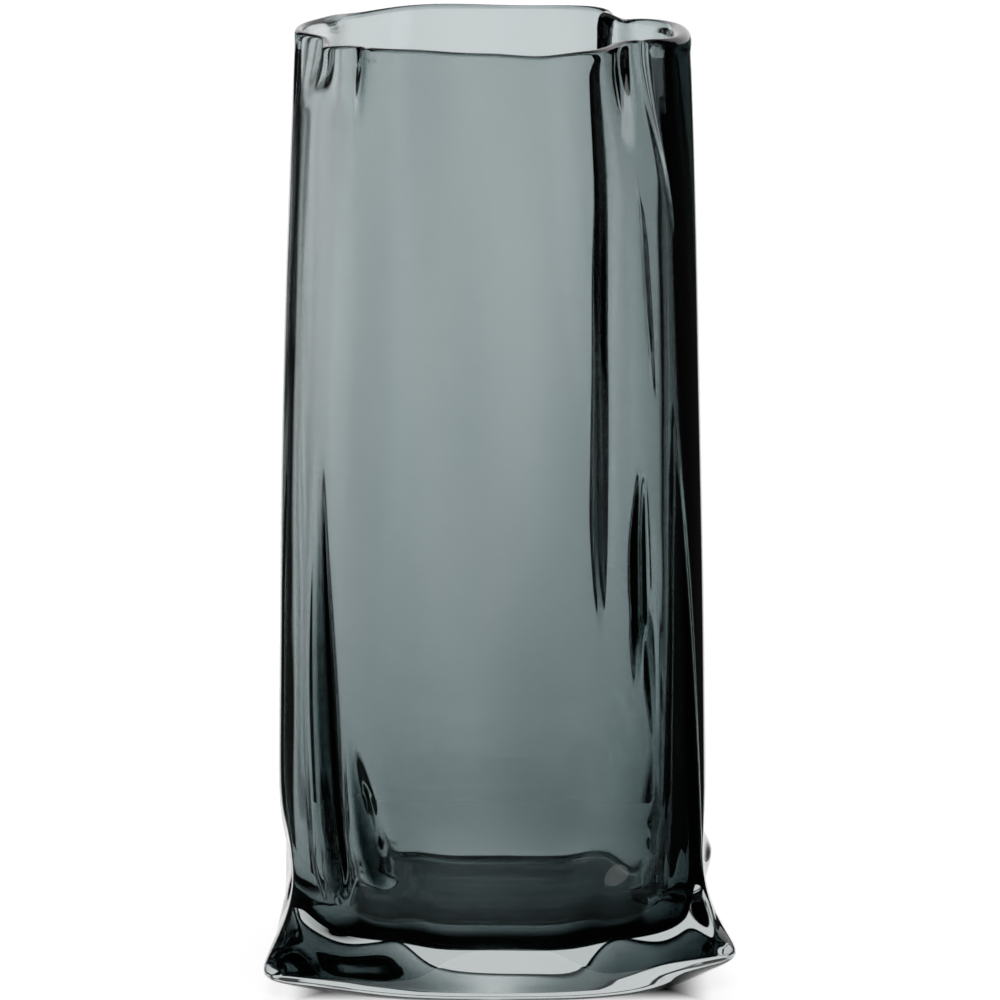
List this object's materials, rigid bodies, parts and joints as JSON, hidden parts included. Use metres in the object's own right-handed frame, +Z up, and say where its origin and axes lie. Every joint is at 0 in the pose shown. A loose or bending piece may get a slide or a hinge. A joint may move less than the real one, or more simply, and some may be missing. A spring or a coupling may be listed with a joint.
{
  "type": "glass vase",
  "caption": "Tall smoke-grey blown glass vase with a round crumpled mouth, soft square body, thick solid base and a pulled-out ear at each bottom corner.",
  "frame": {"origin": "centre of the outline, on the table plane under the flat foot", "axes": "+Z up towards the mouth, -Y the front, +X to the right seen from the front"},
  "size_m": [0.15, 0.1396, 0.3],
  "materials": {
    "smoked_glass": "clear polished, tinted smoke grey through its thickness"
  },
  "bodies": {
    "root": {"base": "smoked_glass", "wall": "smoked_glass", "rim": "smoked_glass"}
  },
  "joints": []
}
